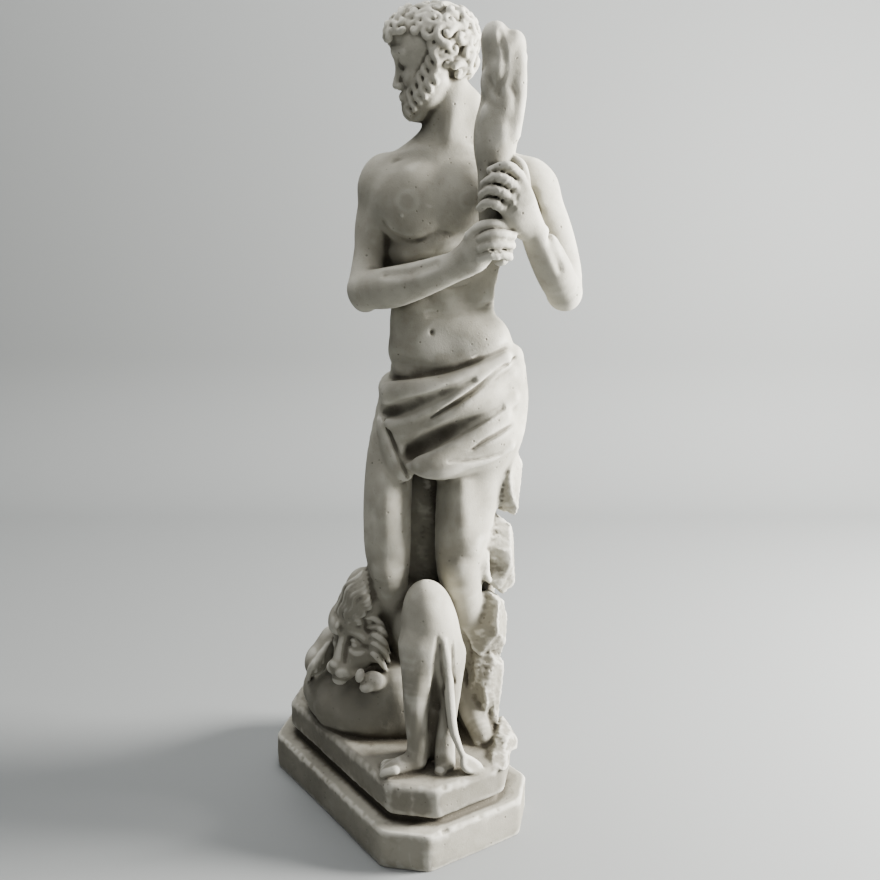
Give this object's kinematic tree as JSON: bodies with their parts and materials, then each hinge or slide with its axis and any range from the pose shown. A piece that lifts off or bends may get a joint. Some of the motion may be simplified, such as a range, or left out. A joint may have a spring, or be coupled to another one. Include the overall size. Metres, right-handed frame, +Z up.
{
  "type": "concrete man and lion sculpture",
  "caption": "Cast concrete garden statue of a standing bearded man holding a club upright, a cloth round his hips, with a bowed lion at his feet on a low two-tier plinth",
  "frame": {"origin": "middle of the plinth's underside, on the ground", "axes": "+Z up along the standing figure; X along the plinth's long side; -Y is the long side in front of which the lion lies; the man faces the corner between -Y and +X"},
  "size_m": [0.3724, 0.2902, 1.0101],
  "materials": {
    "cast_concrete": "matt cast concrete with fine pits, pale on the raised forms and brown-grey in the hollows"
  },
  "bodies": {
    "root": {"man_and_lion_statue": "cast_concrete"}
  },
  "joints": []
}
